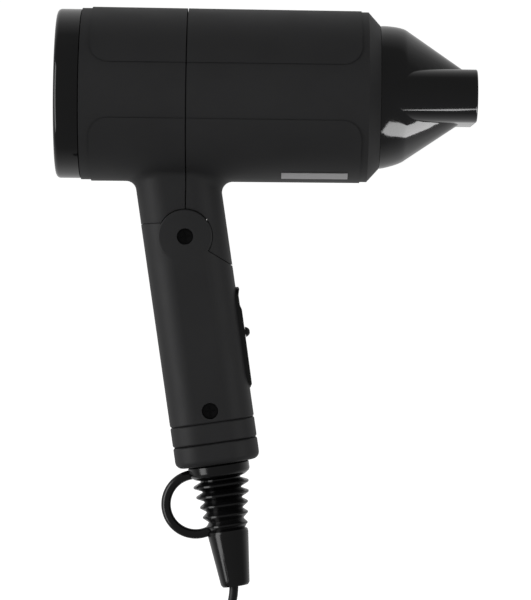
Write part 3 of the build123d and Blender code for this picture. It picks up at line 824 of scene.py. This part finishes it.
class DRYER_OT_stage(bpy.types.Operator):
    """Make the camera, the paper cove and the lights"""
    bl_idname = "dryer.stage"
    bl_label = "Stage"

    def execute(self, context):
        chosen = context.scene.dryer_studio
        context.scene.view_settings.view_transform = "Standard"
        data = bpy.data.cameras.new("camera")
        data.lens = chosen.lens
        data.sensor_width = SENSOR_WIDTH
        camera = bpy.data.objects.new("camera", data)
        context.scene.collection.objects.link(camera)
        camera.location = (VIEW_CENTRE_X, -chosen.distance, VIEW_CENTRE_Z)
        camera.rotation_euler = (math.radians(90), chosen.roll, 0.0)
        context.scene.camera = camera
        paper_cove()
        studio_world()
        soft_box("left_strip", (-0.82, -0.44, -0.05), (0.0, 0.0, -0.05), (0.45, 1.3), chosen.strip_power)
        low = soft_box("low_box", (LOW_BOX_X, LOW_BOX_Y, -0.25), (LOW_BOX_X, LOW_BOX_Y, 1.0),
                       (0.56, 0.212), chosen.low_power)
        low.rotation_euler.z += LOW_BOX_TURN
        keep_for_some(low)
        fill = soft_box("right_fill", (0.72, -0.62, -0.05), (0.0, 0.0, -0.05), (0.6, 1.3),
                        chosen.fill_power)
        keep_for_some(fill)
        return {"FINISHED"}


# ---- cord ----

def hank_route():
    """Points of the folded cord: pinched turns that spiral in on the near side and out on the far."""
    route = []
    per_end = 9
    per_side = 4
    order = [(0, -1), (1, -1), (2, -1), (2, 1), (1, 1), (0, 1)]
    for turn, (ring, layer) in enumerate(order):
        radius = HANK_END_RADII[ring]
        waist = HANK_WAISTS[ring]
        last = turn == len(order) - 1
        next_ring, next_layer = order[min(turn + 1, len(order) - 1)]
        next_radius = HANK_END_RADII[next_ring]
        hollow = (HANK_HALF ** 2 / (radius - waist) - radius - waist) / 2
        meet = math.degrees(math.atan2(HANK_HALF, waist + hollow))
        y = HANK_LAYER_Y * layer
        side = (HANK_X + waist + hollow, HANK_Z)
        top = (HANK_X, HANK_Z + HANK_HALF)
        low = (HANK_X, HANK_Z - HANK_HALF)
        down = arc(side, hollow, 180 - meet, 180 + meet, per_side)[1:-1]
        under = arc(low, radius, meet, -180 - meet, per_end + 2)
        up = [(2 * HANK_X - x, 2 * HANK_Z - z) for x, z in down]
        right = arc(top, radius, 0, -meet, 2)
        route += [(x, y, z) for x, z in right + down + under + up]
        start, end = 180 + meet, 30 if last else 25
        for step in range(per_end + 1):
            part = step / per_end
            angle = math.radians(start + (end - start) * part)
            blend = 0.0 if last else part
            size = radius + (next_radius - radius) * blend
            level = HANK_LAYER_Y * (layer + (next_layer - layer) * blend)
            route.append((top[0] + size * math.cos(angle), level, top[1] + size * math.sin(angle)))
    return route


class DRYER_OT_cord(bpy.types.Operator):
    """Make the flat cord: out of the strain relief, folded into a tied hank, and on to the plug"""
    bl_idname = "dryer.cord"
    bl_label = "Cord"

    def execute(self, context):
        lead_in = [(14.233, 0, -90.892), CORD_EXIT, (13.2, 0, -114.3), (11.2, -1.2, -128.2),
                   (11.0, -3.0, -142.2)]
        lead_out = [(11.4, 3.0, -147.5), (14.2, 2.2, -155.5), (20.6, 0.9, -164.5), (26.8, 0.2, -173.5),
                    (PLUG_X, 0, PLUG_TOP - 5.0)]
        points = spline_points(lead_in + hank_route() + lead_out, CORD_RESOLUTION)
        section = rounded_outline(CORD_WIDE, CORD_THICK, CORD_THICK / 2 - 0.02, 4)
        cord = tube_along("flat_cord", points, section, Vector((0, 1, 0)), finish_for("cord_black"))
        ride(cord, "handle", ["cord_lead", "plug_lead", "cord_hank"])
        tie = finished_copy("cord_tie", finish_for("tie_black"), 0.5, name="hank_tie")
        plug = make_plug()
        return {"FINISHED"}


def make_plug():
    """The moulded plug with its ribbed relief, and its two round pins."""
    top = PLUG_TOP
    levels = [(top, 8.8, 8.8, 4.38), (top - 1.2, 10.0, 10.0, 4.98)]
    for rib in range(5):
        z = top - 3.0 - 4.4 * rib
        wide = 9.6 + 0.85 * rib
        for drop, extra in ((0.0, 0.0), (0.5, -1.7), (1.9, -1.7), (2.4, 0.0)):
            size = wide + extra
            levels.append((z - drop, size, size, size / 2 - 0.02))
    levels += [(top - 25.2, 14.6, 17.0, 6.6), (top - 28.0, 16.2, 20.4, 7.4), (top - 31.0, 18.4, 24.8, 8.2),
               (top - 34.0, 20.8, 29.2, 9.2), (top - 37.0, 22.9, 32.4, 10.2),
               (top - 40.0, 24.4, 34.4, 10.8), (top - 43.0, 25.0, 35.0, 11.0),
               (top - 60.8, 25.0, 35.0, 11.0), (top - 61.6, 24.5, 34.5, 10.8),
               (top - PLUG_LONG, 23.4, 33.4, 10.3)]
    outlines = []
    for z, width, depth, corner in levels:
        outlines.append([(PLUG_X + x, y, z) for x, y in rounded_outline(width, depth, corner, 9)])
    points, faces = loft(outlines)
    body = from_faces("moulded_plug", points, faces, Matrix.Identity(4), finish_for("plug_black"), 38)
    ride(body, "handle", ["plug_body"])
    profile = [(-3.0, 0), (-3.0, 2.4), (17.4, 2.4)] + arc((17.4, 0.8), 1.6, 90, 0, 6)[1:] + [(19.0, 0)]
    pins = []
    for number, y in enumerate((-PIN_HALF_SPACING, PIN_HALF_SPACING)):
        place = Matrix.Translation(Vector((PLUG_X, y, top - PLUG_LONG)) * MM) @ ALONG_X_TO_Z
        points, faces = lathe(profile, 40)
        name = "plug_pin_%d" % (number + 1)
        pin = from_faces(name, points, faces, place, finish_for("pin_nickel"))
        pins.append(ride(pin, "handle", ["plug_pins"]))
    return [body, *pins]


# ---- pieces ----

class DRYER_OT_barrel(bpy.types.Operator):
    """Finish the two barrel shells, the blank label and the hinge block"""
    bl_idname = "dryer.barrel"
    bl_label = "Barrel"

    def execute(self, context):
        for node in ("rear_shell", "front_shell"):
            lit_by(finished_copy(node, finish_for("soft_black"), sharp=24.0), "right_fill")
        finished_copy("rating_label", finish_for("label_white"))
        finished_copy("pivot_block", finish_for("pivot_black"))
        return {"FINISHED"}


class DRYER_OT_inlet(bpy.types.Operator):
    """Make the rear cap with its ring grille, and the dust gauze behind it"""
    bl_idname = "dryer.inlet"
    bl_label = "Inlet cap"

    def execute(self, context):
        gloss = finish_for("gloss_black")
        back = CAP_BACK
        profile = [(back, 31.0), (back, 34.6)] + arc((back + 2.0, 34.6), 2.0, 180, 90, 10)[1:]
        profile += [(-46.3, 36.6)] + arc((-46.3, 36.0), 0.6, 90, 0, 4)[1:]
        profile += [(-45.7, 34.3), (-39.5, 34.3), (-39.5, 32.7), (back + 3, 32.7), (back + 3, 31.0)]
        points, faces = lathe(profile, 160, closed=True)
        rim = from_faces("inlet_cap_rim", points, faces, BARREL, gloss, 30)
        ride(rim, "inlet_cover", ["inlet_cap"])
        rings = ring_rows_tree(gloss)
        grille = grow("inlet_grille_rings", rings, {
            "Count": 6, "First Radius": 6.75 * MM, "Radius Step": 4.0 * MM, "Bar Width": 1.5 * MM,
            "Bar Depth": 1.6 * MM}, BARREL @ Matrix.Translation(((back + 1.8) * MM, 0, 0)), gloss)
        ride(grille, "inlet_cover")
        bars = grow("inlet_grille_spokes", spokes_tree(gloss), {
            "Count": 8, "Inner Radius": 3.5 * MM, "Outer Radius": 31.4 * MM, "Width": 1.8 * MM,
            "Depth": 2.0 * MM}, BARREL @ Matrix.Translation(((back + 2.0) * MM, 0, 0)), gloss)
        ride(bars, "inlet_cover")
        disc = [(back + 0.8, 0), (back + 0.8, 3.4)] + arc((back + 1.6, 3.4), 0.8, 180, 90, 5)[1:]
        disc += [(back + 2.8, 4.2), (back + 2.8, 0)]
        points, faces = lathe(disc, 48)
        ride(from_faces("inlet_grille_hub", points, faces, BARREL, gloss), "inlet_cover")
        cloth = grow("dust_gauze", gauze_tree(finish_for("gauze")), {
            "Threads": 52, "Disc Radius": 31.9 * MM, "Thread": context.scene.dryer_sizes.gauze_thread,
            "Rise": 0.2 * MM}, BARREL @ Matrix.Translation((GAUZE_X * MM, 0, 0)), finish_for("gauze"))
        ride(cloth, "inlet_cover", ["dust_filter"])
        hoop = [(-52.6, 31.0), (-52.6, 32.4), (-52.1, 32.4), (-52.1, 31.0)]
        points, faces = lathe(hoop, 96, closed=True)
        ride(from_faces("dust_gauze_hoop", points, faces, BARREL, finish_for("gauze")),
             "inlet_cover")
        return {"FINISHED"}


def fan_blade(number, blades):
    """One twisted, cambered blade as a closed solid."""
    rows = 9
    columns = 7
    half = 0.55
    points = []
    for side in (1, -1):
        for row in range(rows):
            share = row / (rows - 1)
            radius = 8.6 + (30.6 - 8.6) * share
            pitch = math.radians(48 - 20 * share)
            for column in range(columns):
                run = (column / (columns - 1) - 0.5) * 9.6
                camber = 0.7 * (1 - (run / 4.8) ** 2)
                thick = side * half * (1 - 0.75 * abs(run / 4.8) ** 2)
                along = run * math.cos(pitch) + (camber + thick) * math.sin(pitch)
                around = run * math.sin(pitch) - (camber + thick) * math.cos(pitch)
                angle = 2 * math.pi * number / blades + around / radius
                points.append((-31.2 + along * 0.92, radius * math.sin(angle), radius * math.cos(angle)))
    faces = []
    count = rows * columns
    for row in range(rows - 1):
        for column in range(columns - 1):
            a = row * columns + column
            quad = (a, a + 1, a + columns + 1, a + columns)
            faces.append(quad)
            faces.append(tuple(i + count for i in reversed(quad)))
    rim = [*range(columns), *[r * columns + columns - 1 for r in range(1, rows)],
           *[(rows - 1) * columns + c for c in range(columns - 2, -1, -1)],
           *[r * columns for r in range(rows - 2, 0, -1)]]
    for a, b in zip(rim, rim[1:] + rim[:1]):
        faces.append((a, b, b + count, a + count))
    return points, faces


class DRYER_OT_blower(bpy.types.Operator):
    """Make the fan, and finish the duct, the motor and the shaft"""
    bl_idname = "dryer.blower"
    bl_label = "Blower"

    def execute(self, context):
        blades = 7
        points = []
        faces = []
        for number in range(blades):
            blade_points, blade_faces = fan_blade(number, blades)
            faces += [tuple(i + len(points) for i in face) for face in blade_faces]
            points += blade_points
        hub = [(-36.0, 1.05), (-36.0, 8.2)] + arc((-34.7, 8.2), 1.3, 180, 90, 6)[1:]
        hub += [(-27.0, 9.5), (-27.0, 8.2), (-34.0, 7.6), (-34.0, 3.0), (-27.5, 2.6), (-27.5, 1.05)]
        hub_points, hub_faces = lathe(hub, 72, closed=True)
        faces += [tuple(i + len(points) for i in face) for face in hub_faces]
        points += hub_points
        fan = from_faces("axial_fan", points, faces, BARREL, finish_for("fan_grey"), 40)
        ride(fan, "rotor", ["fan"])
        finished_copy("air_duct", finish_for("duct_white"))
        finished_copy("motor", finish_for("motor_steel"), 0.3)
        finished_copy("motor_shaft", finish_for("shaft_steel"))
        return {"FINISHED"}


class DRYER_OT_heater(bpy.types.Operator):
    """Make the coiled heater wire, and finish the mica, the cut-outs and the outlet guard"""
    bl_idname = "dryer.heater"
    bl_label = "Heater"

    def execute(self, context):
        wire = finish_for("heater_wire")
        coils = grow("heater_windings", wound_ring_tree(wire), {
            "Rings": 5, "Pitch": 10.0 * MM, "Ring Radius": 24.0 * MM, "Coil Radius": 1.15 * MM,
            "Turns": 84, "Wire": context.scene.dryer_sizes.heater_wire},
            BARREL @ Matrix.Translation((18.0 * MM, 0, 0)), wire)
        ride(coils, "barrel", ["heating_coils"])
        for node, slot in (("mica_sleeve", "mica"), ("mica_boards", "mica"),
                           ("thermal_fuse", "fuse_body"), ("thermostat", "thermostat_steel"),
                           ("outlet_grille", "grille_black")):
            finished_copy(node, finish_for(slot))
        return {"FINISHED"}


class DRYER_OT_nozzle(bpy.types.Operator):
    """Finish the polished nozzle"""
    bl_idname = "dryer.nozzle"
    bl_label = "Nozzle"

    def execute(self, context):
        lit_by(finished_copy("nozzle", finish_for("gloss_black"), sharp=26.0), "low_box")
        return {"FINISHED"}


class DRYER_OT_handle(bpy.types.Operator):
    """Finish the handle shells, the collar, the hinge hardware and the handle screw"""
    bl_idname = "dryer.handle"
    bl_label = "Handle"

    def execute(self, context):
        soft = finish_for("soft_black")
        for node in ("left_handle_shell", "right_handle_shell", "end_collar"):
            lit_by(finished_copy(node, soft, sharp=26.0), "right_fill")
        for node, slot in (("hinge_screw", "screw_black"), ("handle_screw", "screw_black"),
                           ("hinge_sleeve", "zinc_steel"), ("hinge_nut", "zinc_steel"),
                           ("hinge_washers", "zinc_steel")):
            finished_copy(node, finish_for(slot))
        return {"FINISHED"}


class DRYER_OT_switches(bpy.types.Operator):
    """Finish the switch plate, the slide knob, the upper button and what they work"""
    bl_idname = "dryer.switches"
    bl_label = "Switches"

    def execute(self, context):
        satin = finish_for("satin_black")
        for node in ("switch_plate", "speed_slider", "cool_button"):
            finished_copy(node, satin, sharp=30.0)
        for node, slot in (("circuit_board", "board_green"), ("speed_switch", "switch_black"),
                           ("cool_switch", "switch_black"), ("noise_capacitor", "capacitor_blue"),
                           ("handle_leads", "lead_sleeve"), ("button_spring", "spring_steel")):
            finished_copy(node, finish_for(slot))
        return {"FINISHED"}


class DRYER_OT_strain_relief(bpy.types.Operator):
    """Finish the ribbed strain relief and its hanging loop"""
    bl_idname = "dryer.strain_relief"
    bl_label = "Strain relief"

    def execute(self, context):
        finished_copy("strain_relief", finish_for("flex_black"), sharp=40.0)
        return {"FINISHED"}


class DRYER_PT_panel(bpy.types.Panel):
    """Lists what can be made"""
    bl_label = "Hair dryer"
    bl_space_type = "VIEW_3D"
    bl_region_type = "UI"
    bl_category = "Hair dryer"

    def draw(self, context):
        for made in OPERATORS:
            self.layout.operator(made.bl_idname)
        for group in ("dryer_colours", "dryer_sizes", "dryer_studio"):
            box = self.layout.box()
            for name in getattr(context.scene, group).bl_rna.properties.keys():
                if name not in ("rna_type", "name"):
                    box.prop(getattr(context.scene, group), name)


OPERATORS = (DRYER_OT_stage, DRYER_OT_cord, DRYER_OT_barrel, DRYER_OT_inlet, DRYER_OT_blower,
             DRYER_OT_heater, DRYER_OT_nozzle, DRYER_OT_handle, DRYER_OT_switches,
             DRYER_OT_strain_relief)
GROUPS = {"dryer_colours": DryerColours, "dryer_sizes": DryerSizes, "dryer_studio": StudioSettings}


def register():
    for made in (*GROUPS.values(), *OPERATORS, DRYER_PT_panel):
        bpy.utils.register_class(made)
    for name, group in GROUPS.items():
        setattr(bpy.types.Scene, name, bpy.props.PointerProperty(type=group))


def unregister():
    for name in GROUPS:
        delattr(bpy.types.Scene, name)
    for made in (DRYER_PT_panel, *reversed(OPERATORS), *GROUPS.values()):
        bpy.utils.unregister_class(made)


def main():
    register()
    for made in OPERATORS:
        group, name = made.bl_idname.split(".")
        getattr(getattr(bpy.ops, group), name)()


if __name__ == "__main__":
    main()
